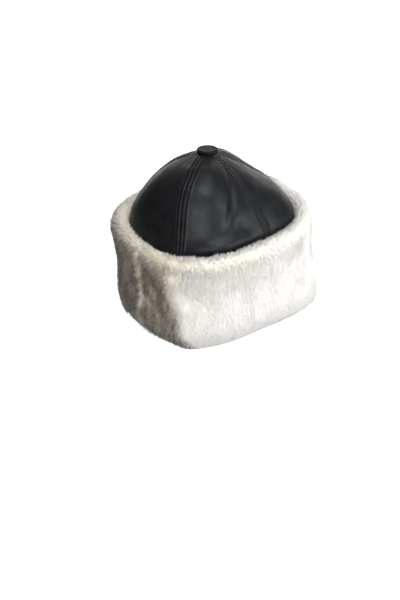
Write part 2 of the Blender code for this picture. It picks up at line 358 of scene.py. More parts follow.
def lattice_noise(u, v, cells_u, cells_v, seed):
    """Smooth noise from -1 to 1 over u and v from 0 to 1, which repeats in u."""
    values = np.random.default_rng(seed).uniform(-1.0, 1.0, (cells_u, cells_v + 2))
    x, y = u % 1.0 * cells_u, np.clip(v, 0.0, 1.0) * cells_v
    i, j = np.floor(x).astype(int), np.floor(y).astype(int)
    s, t = x - i, y - j
    s, t = s * s * (3 - 2 * s), t * t * (3 - 2 * t)
    i, k = i % cells_u, (i + 1) % cells_u
    low = values[i, j] * (1 - s) + values[k, j] * s
    high = values[i, j + 1] * (1 - s) + values[k, j + 1] * s
    return low * (1 - t) + high * t


# Crown


def side_weight(angle, middle):
    """1 at the middle of a side of the crown, 0 from SIDE_SPREAD degrees away."""
    away = np.minimum(np.abs(turn_between(angle, middle)) / SIDE_SPREAD, 1.0)
    return np.cos(away * math.pi / 2) ** 2


def fold_depth(angle, share, folds):
    """Depth of the folds at a share of the dome's height, negative where they swell out."""
    depth = 0.0
    for fold in folds:
        middle = fold["angle"] + fold["lean"] * (share - fold["height"])
        across = turn_between(angle, middle) / fold["spread"]
        along = (share - fold["height"]) / fold["reach"]
        depth = depth + fold["depth"] * np.exp(-(across**2) - along**2)
    return FOLD_DEPTH * depth


def crown_point(start, end, across, rise):
    """The leather's outer form. across runs from 0 to 1 between two seams. rise runs from -1 to 0 up the
    wall, from 0 to 1 over the dome, and on towards 2 over the flat under the button."""
    angle = start + (end - start) * across
    share = np.clip(rise, 0.0, 1.0)
    left = side_weight(angle, LEFT_SHOULDER_ANGLE)
    hollow = side_weight(angle, HOLLOW_SIDE_ANGLE)
    width = smooth_value(DOME_SECTIONS, "height", share, "back") * (1.0 - left - hollow)
    width = width + smooth_value(DOME_SECTIONS, "height", share, "left") * left
    width = width + smooth_value(DOME_SECTIONS, "height", share, "hollow") * hollow
    fade = np.minimum(1.0, np.minimum(share, 1.0 - share) / DOME_FADE)
    puff = GORE_PUFF * np.sin(math.pi * across) ** 2
    radius = crown_radius(angle) * width + (puff - fold_depth(angle, share, FOLDS)) * fade
    radius = radius * (1.0 - FLAT_DRAW * np.clip(rise - 1.0, 0.0, 1.0))
    base = rim_height(angle) - CUFF_THICKNESS / 2
    height = base + (CROWN_HEIGHT - base) * share
    height = np.where(rise < 0.0, CROWN_FOOT + (base - CROWN_FOOT) * (1.0 + rise), height)
    return around(angle, radius, height) + TOP_SHIFT * share[..., None] + FRAME_SHIFT


def gore_width(start, end, rise):
    """Length of a gore's row from seam to seam."""
    across = np.linspace(0.0, 1.0, 41)
    rows = crown_point(start, end, across[None, :], np.atleast_1d(rise)[:, None])
    return np.linalg.norm(np.diff(rows, axis=1), axis=2).sum(axis=1)


def seam_relief(distance, along):
    """Height of the leather over its plain form beside a seam: groove, turned allowance and stitch line."""
    relief = ALLOWANCE_RISE * (1.0 - eased(ALLOWANCE - 0.0006, ALLOWANCE + 0.0010, distance))
    relief = relief - GROOVE_DEPTH * np.exp(-((distance / GROOVE_WIDTH) ** 2))
    pull = 0.5 + 0.5 * np.cos(2 * math.pi * (along - STITCH_LENGTH / 2) / STITCH_PITCH)
    return relief - STITCH_DIP * pull * np.exp(-(((distance - STITCH_LINE) / STITCH_DIP_WIDTH) ** 2))


def leather_waves(start, across, rise):
    """Soft unevenness of worn leather, and the gathers under the button."""
    wave = 0.00022 * np.sin(9.0 * across + start) * np.sin(7.0 * rise + 0.05 * start)
    wave = wave + 0.00012 * np.sin(23.0 * across + 11.0 * rise + start) * np.sin(17.0 * rise)
    gather = 0.00009 * np.sin(31.0 * across + start) * eased(0.84, 0.97, rise)
    ring = -0.0007 * np.exp(-(((rise - 0.955) / 0.018) ** 2))
    fade = np.sin(math.pi * across) * eased(-0.05, 0.08, rise)
    return (wave + gather) * fade + ring


def stitch_run(start, end, side):
    """Rises and lengths along the stitch line beside a gore's first or second seam, on the plain form."""
    rises = np.linspace(-0.06, 0.985, 400)
    share = STITCH_LINE / gore_width(start, end, rises)
    line = crown_point(start, end, share if side == 0 else 1.0 - share, rises)
    steps = np.linalg.norm(np.diff(line, axis=0), axis=1)
    return rises, np.concatenate([[0.0], np.cumsum(steps)])


def leather_point(start, end, across, rise, width):
    """The leather's outer face with its seams and waves."""

    def form(a, b):
        """The plain form of this gore."""
        return crown_point(start, end, a, b)

    across, rise, width = np.broadcast_arrays(across, rise, width)
    normal = normals_of(form, across, rise, FORM_STEP, FORM_STEP)
    distance = np.minimum(across, 1.0 - across) * width
    first = np.interp(rise, *stitch_run(start, end, 0))
    second = np.interp(rise, *stitch_run(start, end, 1))
    along = np.where(across < 0.5, first, second)
    relief = seam_relief(distance, along) * eased(-0.30, 0.0, rise)
    relief = relief + leather_waves(start, across, rise)
    relief = relief - fold_depth(start + (end - start) * across, rise, SMALL_FOLDS)
    return form(across, rise) + normal * relief[..., None]


def seam_angles():
    """Angles of the crown's seams, evenly spaced round its wall, with the first again at the end."""
    seams = angles_by_arc(np.arange(GORES) / GORES, FIRST_SEAM_ANGLE, crown_radius)
    return np.concatenate([seams, [FIRST_SEAM_ANGLE + 360.0]])


def columns_across(width):
    """Shares across a row of this width, close together beside the seams."""
    near = SEAM_COLUMNS * min(1.0, 0.42 * width / SEAM_COLUMNS[-1]) / width
    middle = np.linspace(near[-1], 1.0 - near[-1], MIDDLE_COLUMNS + 2)[1:-1]
    return np.concatenate([near, middle, 1.0 - near[::-1]])


def add_gore(number, start, end, leather, suede):
    """One gore: a grid over wall, dome and flat, thickened inwards."""
    rises = np.concatenate([[-1.0, -0.7, -0.4, -0.15], np.linspace(-0.05, 1.0, DOME_ROWS), [1.35, 1.8]])
    widths = gore_width(start, end, rises)
    across = np.array([columns_across(width) for width in widths])
    points = leather_point(start, end, across, rises[:, None], widths[:, None])
    faces = grid_faces(len(rises), across.shape[1], False, False)
    name = f"gore_leather_{number + 1}"
    node = f"crown_panel_{number + 1}"
    piece = add_mesh(name, points.reshape(-1, 3), faces, [leather, suede], [node])
    wall = piece.modifiers.new("leather", "SOLIDIFY")
    wall.thickness = LEATHER
    wall.offset = -1.0
    wall.material_offset = 1


def stitch_rows(start, end, side):
    """Ends of the stitches along one side of a gore, from the cuff to the button."""
    rises, length = stitch_run(start, end, side)
    begins = STITCH_PITCH * np.arange(int(length[-1] / STITCH_PITCH))

    def at(distance):
        """Points on the leather at lengths along the stitch line."""
        rise = np.interp(distance, length, rises)
        width = gore_width(start, end, rise)
        share = STITCH_LINE / width
        return leather_point(start, end, share if side == 0 else 1.0 - share, rise, width)

    return at(begins), at(begins + STITCH_LENGTH)


def rods(begins, ends, radius, sides, profile):
    """Closed rods between points. profile gives each ring's place along the rod and share of the radius."""
    axis = ends - begins
    first, second = square_to(axis)
    turns = 2 * math.pi * np.arange(sides) / sides
    rings = []
    for place, share in profile:
        centre = begins + axis * place
        ring = np.cos(turns)[None, :, None] * first[:, None] + np.sin(turns)[None, :, None] * second[:, None]
        rings.append(centre[:, None] + ring * radius * share)
    body = np.stack(rings, axis=1).reshape(len(begins), -1, 3)
    points = np.concatenate([body, begins[:, None], ends[:, None]], axis=1)
    quads = grid_faces(len(profile), sides, True, False)
    triangles = np.concatenate([quads[:, [0, 1, 2]], quads[:, [0, 2, 3]]])
    k = np.arange(sides)
    last = (len(profile) - 1) * sides
    low_cap = np.stack([(k + 1) % sides, k, np.full(sides, len(profile) * sides)], axis=1)
    high_cap = np.stack([last + k, last + (k + 1) % sides, np.full(sides, len(profile) * sides + 1)], axis=1)
    one = np.concatenate([triangles, low_cap, high_cap])
    faces = one[None] + (np.arange(len(begins)) * points.shape[1])[:, None, None]
    return points.reshape(-1, 3), faces.reshape(-1, 3)


def add_stitches(seams, thread):
    """Both topstitched rows of each seam, one piece for each seam."""
    profile = ((0.03, 0.55), (0.2, 0.95), (0.5, 1.0), (0.8, 0.95), (0.97, 0.55))
    for number in range(GORES):
        after_start, after_end = stitch_rows(seams[number], seams[number + 1], 0)
        previous = (number - 1) % GORES
        before_start, before_end = stitch_rows(seams[previous], seams[previous + 1], 1)
        begins = np.concatenate([after_start, before_start])
        ends = np.concatenate([after_end, before_end])
        outwards = unit((begins + ends) / 2 - np.array([0.0, 0.0, 0.08]))
        lift = outwards * THREAD_RADIUS * 0.45
        points, faces = rods(begins + lift, ends + lift, THREAD_RADIUS, 6, profile)
        add_mesh(f"seam_stitches_{number + 1}", points, faces, [thread])


def add_button(leather):
    """The covered button: leather drawn over a disc, with a soft rim and a shallow face."""
    seat = CROWN_HEIGHT + GAP
    height = BUTTON_THICKNESS
    profile = (
        (0.18, seat - 0.0055),
        (0.18, seat),
        (0.80, seat),
        (0.93, seat + 0.10 * height),
        (0.985, seat + 0.28 * height),
        (1.00, seat + 0.50 * height),
        (0.99, seat + 0.72 * height),
        (0.955, seat + 0.90 * height),
        (0.90, seat + 1.00 * height),
        (0.84, seat + 1.02 * height),
        (0.77, seat + 0.97 * height),
        (0.68, seat + 0.93 * height),
        (0.50, seat + 0.93 * height),
        (0.25, seat + 0.95 * height),
        (0.02, seat + 0.96 * height),
    )
    turns = 360.0 * np.arange(BUTTON_SIDES) / BUTTON_SIDES
    rows = []
    for share, level in profile:
        pleated = (0.75 < share) * (level < seat + 0.5 * height)
        pleats = 1.0 + 0.012 * np.sin(np.radians(BUTTON_PLEATS * turns)) * pleated
        rows.append(around(turns, BUTTON_RADIUS * share * pleats, level))
    points = np.array(rows).reshape(-1, 3) + TOP_SHIFT + FRAME_SHIFT
    quads = grid_faces(len(profile), BUTTON_SIDES, True, False)
    faces = np.concatenate([quads[:, [0, 1, 2]], quads[:, [0, 2, 3]]])
    last = (len(profile) - 1) * BUTTON_SIDES
    k = np.arange(1, BUTTON_SIDES - 1)
    bottom = np.stack([np.zeros_like(k), k + 1, k], axis=1)
    top = last + np.stack([np.zeros_like(k), k, k + 1], axis=1)
    faces = np.concatenate([faces, bottom, top])
    add_mesh("covered_button", points, faces, [leather], ["crown_button"])


# Cuff


def cuff_point(angle, run):
    """The cuff's outer form. run goes from 0 at the hem up the face, over the roll, to 1 at the leather."""
    rim = rim_radius(angle)
    hem = oval_radius(angle, HEM_HALF_WIDTH, HEM_HALF_LENGTH, HEM_SQUARENESS)
    top = rim_height(angle)
    roll = CUFF_THICKNESS / 2
    shoulder = 1.0 - roll / top
    blend = np.clip(run / FACE_RUN, 0.0, 1.0)
    out = smooth_value(CUFF_SECTIONS, "height", blend * shoulder, "out") * CUFF_THICKNESS
    out = out * np.minimum(1.0, (1.0 - blend) / 0.08)
    ends = (0.6 + 0.4 * eased(0.0, 0.2, blend)) * (1.0 - eased(0.85, 1.0, blend))
    for fold in CUFF_FOLDS:
        away = turn_between(angle, fold["angle"] + fold["lean"] * (blend - 0.5)) / fold["spread"]
        out = out - fold["depth"] * np.exp(-(away**2)) * ends
    radius = hem * (1.0 - blend) + rim * blend + out
    face = around(angle, radius, blend * shoulder * top) + HEM_SHIFT * (1.0 - blend)[..., None]
    turn = math.pi * np.clip((run - FACE_RUN) / (1.0 - FACE_RUN), 0.0, 1.05)
    over = around(angle, rim - roll + roll * np.cos(turn), top - roll + roll * np.sin(turn))
    return np.where((run < FACE_RUN)[..., None], face, over) + FRAME_SHIFT


def cuff_frame(u, run):
    """Place, outward normal, direction round the cuff and direction up it, for shares u of the way round."""
    angle = angles_by_arc(u, CUFF_SEAM_ANGLE, rim_radius)
    angle, run = np.broadcast_arrays(angle, run)
    inside = np.clip(run, 0.004, 0.996)
    normal = normals_of(cuff_point, angle, inside, ANGLE_STEP, RUN_STEP)
    across = unit(cuff_point(angle + ANGLE_STEP, inside) - cuff_point(angle - ANGLE_STEP, inside))
    return cuff_point(angle, run), normal, across, np.cross(normal, across)


def seam_distance(u, run):
    """Signed distance round the cuff from the middle of its seam's ridge, in metres."""
    turn = smooth_value(SEAM_COURSE, "run", run, "turn")
    waver = 0.0009 * lattice_noise(u, run, 190, 44, 21)
    return turn_between(360.0 * u, 0.0) / 360.0 * LENGTH_ROUND - turn * SEAM_DEGREE + waver


def parting(distance):
    """1 in the groove beside the seam's ridge, 0 away from it."""
    return np.exp(-(((distance + 0.0052) / 0.0016) ** 2))


def ridge(distance, run):
    """1 on the ridge where the wool stands up along the seam, 0 away from it and on the roll."""
    return np.exp(-((distance / 0.0034) ** 4)) * (1.0 - eased(0.80, 0.88, run))


def side_edge(run):
    """Distance from the seam at which the shaded side ends, further out towards the hem."""
    return 0.041 + 0.019 * (1.0 - eased(0.15, 0.62, run))


def side_share(distance, run):
    """1 on the shaded side by the seam, where the wool is matted and painted greyish brown, partly as stain
    and partly as painted shade of the side turned from the light, 0 elsewhere.
    """
    side = eased(-0.075, -0.045, distance) * (1.0 - eased(-0.004, 0.010, distance - side_edge(run)))
    return side * (1.0 - 0.35 * eased(0.62, 0.72, run) - 0.65 * eased(0.76, 0.85, run))


def curl(distance, run):
    """How much the tufts stand apart: strong by the seam and on the rim, weak on the brushed faces."""
    left = eased(-0.10, -0.06, distance) * (1.0 - eased(0.0, 0.012, distance - side_edge(run)))
    return np.maximum(0.12 + 0.88 * left, 0.12 + 0.35 * eased(0.66, 0.80, run))


def paint(piece, u, run, depth):
    """Colours of the wool at each point: tan at the skin, cream at the tips, creamier on the rim with painted
    shade darkening it towards the front, warmer on the side by the seam partly as tone and partly as painted
    warm shade, and greyish brown in patches on that side, partly stain and partly painted shade of the side
    turned from the light. Painted shade also darkens the groove beside the seam's ridge, the inner edge of
    the shaded side, the hem and the seam's foot there, with a darker strip beside the ridge. depth is 0 at
    the skin and 1 at a fibre's tip. It is below 0 in the gaps between tufts, which get painted shade."""
    distance = seam_distance(u, run)
    raised = ridge(distance, run)
    patches = 0.72 + 0.30 * lattice_noise(u + 0.02 * run, run, 64, 9, 11)
    patches = patches + 0.25 * lattice_noise(u, run, 150, 16, 12)
    # Greyish brown on the side by the seam: partly stain, partly painted shade of the side turned from the
    # light, stronger at the roots and less just inside its edge higher up
    stain_and_shade = side_share(distance, run) * np.clip(patches, 0.0, 1.0) * (1.0 - 0.65 * raised)
    inside = distance - side_edge(run)
    lighter = 0.38 * np.exp(-(((inside + 0.009) / 0.009) ** 2)) * eased(0.25, 0.42, run)
    stain_and_shade = stain_and_shade * (1.25 - 0.40 * np.clip(depth, 0.0, 1.0)) * (1.0 - lighter)
    # Painted shade in the groove beside the seam's ridge
    stain_and_shade = np.maximum(stain_and_shade, 1.1 * parting(distance) * (1.0 - eased(0.7, 0.8, run)))
    stain_and_shade = np.minimum(stain_and_shade, 1.0)
    # Painted shade along the inner edge of the shaded side and along the hem there, and a darker strip beside
    # the ridge
    line = 0.26 * np.exp(-(((inside + 0.005) / 0.006) ** 2)) * (1.0 - eased(0.22, 0.36, run))
    line = line + 0.12 * np.exp(-(((distance - 0.010) / 0.004) ** 2)) + 0.38 * (1.0 - eased(0.02, 0.11, run))
    line = line * side_share(distance, run)
    # Warmer on the side by the seam: partly a warm tone, partly painted warm shade
    warm_tone_and_shade = eased(-0.16, -0.08, distance) * (1.0 - eased(0.04, 0.07, distance))
    # Creamier on the rim, and darker towards the front as painted shade
    rim = eased(0.50, 0.82, run) * (1.0 - 0.25 * warm_tone_and_shade) * (1.0 - 0.6 * eased(0.12, 0.20, distance))
    # Painted shade at the seam's foot by the hem
    seam_foot_shade = np.exp(-(((distance + 0.003) / 0.009) ** 2)) * (1.0 - eased(0.07, 0.12, run))
    shades = []
    for k in range(3):
        shade = WOOL_ROOT[k] + (WOOL_TIP[k] - WOOL_ROOT[k]) * np.clip(depth, 0.0, 1.0)
        # Below 0, depth darkens the gaps between tufts as painted shade
        shade = shade * (1.0 + 0.45 * np.clip(depth, -1.0, 0.0))
        shade = shade * (1.0 - (1.0 - WOOL_STAIN_AND_SHADE[k]) * stain_and_shade) * (1.0 - (1.0 - WOOL_RIM_CREAM_AND_SHADE[k]) * rim)
        shade = shade * (1.0 - (1.0 - WOOL_WARM_TONE_AND_SHADE[k]) * warm_tone_and_shade)
        shades.append(shade * (1.0 - line) * (1.0 - 0.85 * seam_foot_shade))
    colours = np.stack(shades + [np.ones(len(depth))], axis=1).astype(np.float32)
    tint = piece.data.color_attributes.new("tint", "FLOAT_COLOR", "POINT")
    tint.data.foreach_set("color", colours.ravel())


def wool_relief(u, run):
    """How far the wool's face stands out of the plain form: soft lumps, the near corner's swell, and the
    seam's ridge and parting."""
    distance = seam_distance(u, run)
    lumps = 0.0005 * lattice_noise(u, run, 50, 8, 2)
    lumps = lumps + 0.0010 * side_share(distance, run) * lattice_noise(u - 0.03 * run, run, 84, 7, 8)
    beads = 1.0 + 0.9 * lattice_noise(u, run, 30, 32, 15)
    relief = lumps + 0.0026 * ridge(distance, run) * beads * eased(0.02, 0.12, run)
    corner = np.exp(-(((distance - side_edge(run) - 0.006) / 0.018) ** 2))
    relief = relief + 0.0040 * corner * eased(0.25, 0.45, run) * (1.0 - eased(0.66, 0.80, run))
    relief = relief - 0.0030 * parting(distance) * (1.0 - eased(0.8, 0.9, run))
    return relief * eased(0.0, 0.05, run) * (1.0 - eased(0.90, 1.0, run))


def relief_normal(u, run, normal, across, up):
    """The normal of the wool's face with its relief."""
    slope_round = wool_relief(u + ROUND_STEP, run) - wool_relief(u - ROUND_STEP, run)
    slope_up = wool_relief(u, run + RUN_STEP) - wool_relief(u, run - RUN_STEP)
    slope_round = slope_round / (2 * ROUND_STEP * LENGTH_ROUND)
    slope_up = slope_up / (2 * RUN_STEP * RELIEF_LENGTH_UP)
    return unit(normal - across * slope_round[..., None] - up * slope_up[..., None])


def add_backing(wool):
    """The skin and the underwool: the cuff's form, set in by the depth of the fibres, with soft lumps."""
    u = np.arange(BACKING_COLUMNS) / BACKING_COLUMNS
    runs = np.linspace(0.0, 1.0, BACKING_ROWS)
    grid_u, grid_run = np.meshgrid(u, runs)
    place, normal = cuff_frame(grid_u, grid_run)[:2]
    edge = eased(0.0, 0.05, grid_run) * (1.0 - eased(0.94, 1.0, grid_run))
    face = place + normal * (wool_relief(grid_u, grid_run) - FIBRE_INSET * edge)[..., None]
    face[..., 2] = np.maximum(face[..., 2], 0.0)
    angle = angles_by_arc(u, CUFF_SEAM_ANGLE, rim_radius)
    inner = rim_radius(angle) - CUFF_THICKNESS
    wall_top = rim_height(angle) - CUFF_THICKNESS / 2
    foot = around(angle, inner, 0.0) + FRAME_SHIFT
    rows = [foot, foot * 0.66 + face[0] * 0.34, foot * 0.33 + face[0] * 0.67]
    rows += list(face)
    rows += [around(angle, inner, wall_top * share) + FRAME_SHIFT for share in (0.66, 0.33)]
    points = np.array(rows)
    faces = grid_faces(len(rows), BACKING_COLUMNS, True, True)
    piece = add_mesh("cuff_backing", points.reshape(-1, 3), faces, [wool], ["sheepskin_cuff"])
    all_u = np.tile(u, len(rows))
    all_run = np.repeat(np.concatenate([np.zeros(3), runs, np.ones(2)]), BACKING_COLUMNS)
    paint(piece, all_u, all_run, np.full(len(all_u), 0.35))


def nap(u, run, normal, across, up, upright):
    """The way that the wool lies: out and down the face, and up and out over the roll. upright is 0 where it
    lies down, and 1 where it nearly stands up from the skin."""
    lean = 0.95 - 0.30 * eased(0.66, 0.80, run) + 0.25 * eased(0.90, 1.0, run)
    lean = lean + 0.25 * lattice_noise(u, run, 36, 8, 6)
    sideways = 0.38 * lattice_noise(u, run, 26, 6, 3) + 0.30 * lattice_noise(u, run, 90, 14, 4)
    return unit(normal - up * (lean * (1.0 - 0.8 * upright))[..., None] + across * sideways[..., None])


def tuft_tips(rng):
    """Places (u, run) of the tufts, the points that their fibres lean to, and a number from -1 to 1 for each
    that sets its length and tone."""
    i, j = np.meshgrid(np.arange(TUFTS_ROUND), np.arange(TUFTS_UP), indexing="ij")
    u = (i + 0.5 * (j % 2) + rng.uniform(-0.40, 0.40, i.shape)) / TUFTS_ROUND
    run = (j + 0.5 + rng.uniform(-0.45, 0.45, i.shape)) / TUFTS_UP
    place, normal, across, up = cuff_frame(u, run)
    way = nap(u, run, normal, across, up, np.zeros(u.shape))
    swirl = rng.uniform(-0.35, 0.35, u.shape + (2,))
    way = unit(way + across * swirl[..., :1] + up * swirl[..., 1:])
    root = place + normal * (wool_relief(u, run) - FIBRE_INSET)[..., None]
    return u, run, root + way * FIBRE_LENGTH, rng.uniform(-1.0, 1.0, u.shape)


def nearest_tuft(u, run, tuft_u, tuft_run):
    """Indices of the tuft that each fibre belongs to."""
    best = np.full(u.shape, np.inf)
    row, column = np.zeros(u.shape, int), np.zeros(u.shape, int)
    for step_i in (-1, 0, 1):
        for step_j in (-1, 0, 1):
            j = np.clip(np.floor(run * TUFTS_UP).astype(int) + step_j, 0, TUFTS_UP - 1)
            i = (np.floor(u * TUFTS_ROUND).astype(int) + step_i) % TUFTS_ROUND
            away_u = (u - tuft_u[i, j] + 0.5) % 1.0 - 0.5
            away = np.hypot(away_u * LENGTH_ROUND, (run - tuft_run[i, j]) * LENGTH_UP * TUFT_STRETCH)
            closer = away < best
            best = np.where(closer, away, best)
            row, column = np.where(closer, i, row), np.where(closer, j, column)
    return row, column


def spikes(roots, tips, width):
    """Closed tapered fibres, four triangles each."""
    first, second = square_to(tips - roots)
    corners = []
    for turn in (0.0, 2 * math.pi / 3, 4 * math.pi / 3):
        corners.append(roots + (first * math.cos(turn) + second * math.sin(turn)) * (width[:, None] / 2))
    points = np.stack(corners + [tips], axis=1).reshape(-1, 3)
    one = np.array([[0, 1, 3], [1, 2, 3], [2, 0, 3], [0, 2, 1]])
    faces = one[None] + (4 * np.arange(len(roots)))[:, None, None]
    return points, faces.reshape(-1, 3)


def add_fibres(number, wool, tufts):
    """One piece of the wool's fibres, spread evenly over the cuff and drawn together into tufts. Each fibre
    is lit as the wool's face is at its root, turned a little the way it lies and out of its tuft."""
    rng = np.random.default_rng(40 + number)
    tuft_u, tuft_run, tuft_tip, tuft_tone = tufts
    u, run = rng.uniform(0.0, 1.0, (2, FIBRES_IN_PIECE))
    run = run * 0.985
    distance = seam_distance(u, run)
    keep = parting(distance) < rng.uniform(0.25, 0.9, len(u))
    u, run, distance = u[keep], run[keep], distance[keep]
    raised = ridge(distance, run)
    place, normal, across, up = cuff_frame(u, run)
    edge = eased(0.0, 0.05, run) * (1.0 - eased(0.97, 1.0, run))
    root = place + normal * (wool_relief(u, run) - FIBRE_INSET * edge - 0.0004)[:, None]
    way = unit(nap(u, run, normal, across, up, raised) + rng.normal(0.0, 0.16, (len(u), 3)))
    i, j = nearest_tuft(u, run, tuft_u, tuft_run)
    fringe = eased(0.74, 0.82, run)
    apart = curl(distance, run)
    length = FIBRE_LENGTH * rng.uniform(0.75, 1.12, len(u)) * (1.0 + 0.25 * raised)
    ragged = 0.08 * lattice_noise(u, run, 60, 12, 5) + 0.30 * fringe * lattice_noise(u, 0.5 * run, 64, 2, 31)
    length = length * (1.0 + ragged + (0.10 * apart + 0.42 * fringe) * tuft_tone[i, j])
    tip = root + way * length[:, None]
    pull = rng.uniform(0.25, 0.75, len(u)) * np.minimum(0.45 + 0.55 * apart + 0.3 * fringe, 1.0)
    pull = pull * (1.0 - 0.75 * raised)
    tip = tip + (tuft_tip[i, j] - tip) * pull[:, None]
    tip[:, 2] = np.maximum(tip[:, 2], LOWEST_TIP)
    root[:, 2] = np.maximum(root[:, 2], LOWEST_ROOT)
    points, faces = spikes(root, tip, FIBRE_WIDTH * rng.uniform(0.7, 1.3, len(u)))
    piece = add_mesh(f"cuff_wool_{number + 1}", points, faces, [wool])
    off_round = ((u - tuft_u[i, j] + 0.5) % 1.0 - 0.5) * LENGTH_ROUND / TUFT_HALF_WIDTH
    off_up = (run - tuft_run[i, j]) * LENGTH_UP / TUFT_HALF_HEIGHT
    dome = across * off_round[:, None] + up * off_up[:, None]
    lit_as = relief_normal(u, run, normal, across, up) + way * 0.20 + dome * (0.80 * apart)[:, None]
    lit_as = unit(lit_as + rng.normal(0.0, 0.08, (len(u), 3)))
    piece.data.normals_split_custom_set_from_vertices(np.repeat(lit_as, 4, axis=0))
    # Fibres away from their tuft's middle are darkened as painted shade in the gaps between tufts; the tuft's
    # own number and a random share vary the tone
    edge_share = np.clip(off_round**2 + off_up**2, 0.0, 1.6)
    tone = 1.0 - apart * (0.95 * edge_share + 0.35 * tuft_tone[i, j]) - rng.uniform(0.0, 0.15, len(u))
    depth = np.tile([0.1, 0.1, 0.1, 1.0], len(u)) * np.repeat(tone, 4)
    paint(piece, np.repeat(u, 4), np.repeat(run, 4), depth)


def add_stray_fibres(wool):
    """Loose fibres that stand out of the wool in curls."""
    rng = np.random.default_rng(77)
    u, run = rng.uniform(0.0, 1.0, (2, STRAY_FIBRES))
    run = run * 0.93 + 0.02
    place, normal, across, up = cuff_frame(u, run)
    way = nap(u, run, normal, across, up, np.full(len(u), 0.3))
    way = unit(way + rng.normal(0.0, 0.30, (len(u), 3)))
    side = unit(np.cross(way, normal) + rng.normal(0.0, 0.4, (len(u), 3)))
    other = unit(np.cross(way, side))
    reach = rng.uniform(0.002, 0.0036, len(u))[:, None]
    bow = rng.uniform(0.0004, 0.0016, len(u))[:, None]
    rings = []
    for step in range(STRAY_RINGS):
        t = step / (STRAY_RINGS - 1)
        centre = place - normal * 0.001 + way * reach * t + side * bow * math.sin(math.pi * t * 1.3)
        centre[:, 2] = np.maximum(centre[:, 2], LOWEST_ROOT)
        thin = STRAY_RADIUS * (1.0 - 0.7 * t)
        low = centre - side * thin * 0.5
        rings.append([centre + side * thin, low + other * thin, low - other * thin])
    corners = STRAY_RINGS * STRAY_SIDES
    points = np.array(rings).reshape(corners, -1, 3).transpose(1, 0, 2)
    quads = grid_faces(STRAY_RINGS, STRAY_SIDES, True, False)
    caps = [[0, 2, 1], [corners - 3, corners - 2, corners - 1]]
    one = np.concatenate([quads[:, [0, 1, 2]], quads[:, [0, 2, 3]], caps])
    faces = one[None] + (corners * np.arange(len(u)))[:, None, None]
    piece = add_mesh("cuff_stray_fibres", points.reshape(-1, 3), faces.reshape(-1, 3), [wool])
    paint(piece, np.repeat(u, corners), np.repeat(run, corners), np.ones(corners * len(u)))


# Materials


class Nodes:
    """Short calls for building a material's nodes."""

    def __init__(self, name, **sockets):
        """A material whose shader has these values, with _ for the spaces in the sockets' names."""
        self.material = bpy.data.materials.new(name)
        self.material.use_nodes = True
        self.tree = self.material.node_tree
        self.shader = self.tree.nodes["Principled BSDF"]
        for key, value in sockets.items():
            self.shader.inputs[key.replace("_", " ")].default_value = value

    def add(self, kind, **values):
        """A node with these properties or inputs."""
        node = self.tree.nodes.new(kind)
        for key, value in values.items():
            if hasattr(node, key):
                setattr(node, key, value)
            else:
                node.inputs[key.replace("_", " ").title()].default_value = value
        return node

    def link(self, start, end):
        """A link from an output to an input."""
        self.tree.links.new(start, end)

    def feed(self, source, socket):
        """A link from an output to one of the shader's sockets."""
        self.link(source, self.shader.inputs[socket])

    def noise(self, scale, detail, roughness=0.5):
        """Noise over the piece's own coordinates."""
        node = self.add("ShaderNodeTexNoise", scale=scale, detail=detail, roughness=roughness)
        self.link(self.add("ShaderNodeTexCoord").outputs["Object"], node.inputs["Vector"])
        return node.outputs["Fac"]

    def ramp(self, source, stops):
        """A colour ramp over a value. stops holds (place, colour) pairs."""
        node = self.add("ShaderNodeValToRGB")
        ramp = node.color_ramp
        while len(ramp.elements) < len(stops):
            ramp.elements.new(1.0)
        for element, (place, colour) in zip(ramp.elements, stops):
            element.position = place
            element.color = (*colour, 1.0)
        self.link(source, node.inputs["Fac"])
        return node.outputs["Color"]

    def mapped(self, source, low, high, to_low, to_high):
        """A value from low to high brought to the range from to_low to to_high."""
        node = self.add("ShaderNodeMapRange")
        for name, value in zip(("From Min", "From Max", "To Min", "To Max"), (low, high, to_low, to_high)):
            node.inputs[name].default_value = value
        self.link(source, node.inputs["Value"])
        return node.outputs["Result"]

    def mix(self, kind, factor, first, second):
        """Two colours mixed in one of Blender's ways."""
        node = self.add("ShaderNodeMix", data_type="RGBA", blend_type=kind)
        node.inputs["Factor"].default_value = factor
        self.link(first, node.inputs["A"])
        self.link(second, node.inputs["B"])
        return node.outputs["Result"]

    def bump(self, height, strength, distance, normal=None):
        """A normal that shows a height, over another normal where one is given."""
        node = self.add("ShaderNodeBump")
        node.inputs["Strength"].default_value = strength
        node.inputs["Distance"].default_value = distance
        self.link(height, node.inputs["Height"])
        if normal is not None:
            self.link(normal, node.inputs["Normal"])
        return node.outputs["Normal"]


def leather_material(name, roughness, gloss):
    """Black nappa: a fine pebbled grain, softly uneven gloss and a hint of worn grey."""
    made = Nodes(
        name,
        Base_Color=(*LEATHER_LIGHT, 1.0),
        Roughness=roughness[0],
        Specular_IOR_Level=gloss,
        Specular_Tint=(0.90, 0.96, 1.0, 1.0),
    )
    made.feed(made.ramp(made.noise(55.0, 4.0), [(0.35, LEATHER_DARK), (0.7, LEATHER_LIGHT)]), "Base Color")
    made.feed(made.mapped(made.noise(90.0, 5.0), 0.3, 0.7, *roughness), "Roughness")
    cells = made.add("ShaderNodeTexVoronoi")
    cells.inputs["Scale"].default_value = 900.0
    made.link(made.add("ShaderNodeTexCoord").outputs["Object"], cells.inputs["Vector"])
    grain = made.bump(cells.outputs["Distance"], 0.25, 0.00018)
    made.feed(made.bump(made.noise(260.0, 4.0, 0.6), 0.22, 0.0005, grain), "Normal")
    return made.material


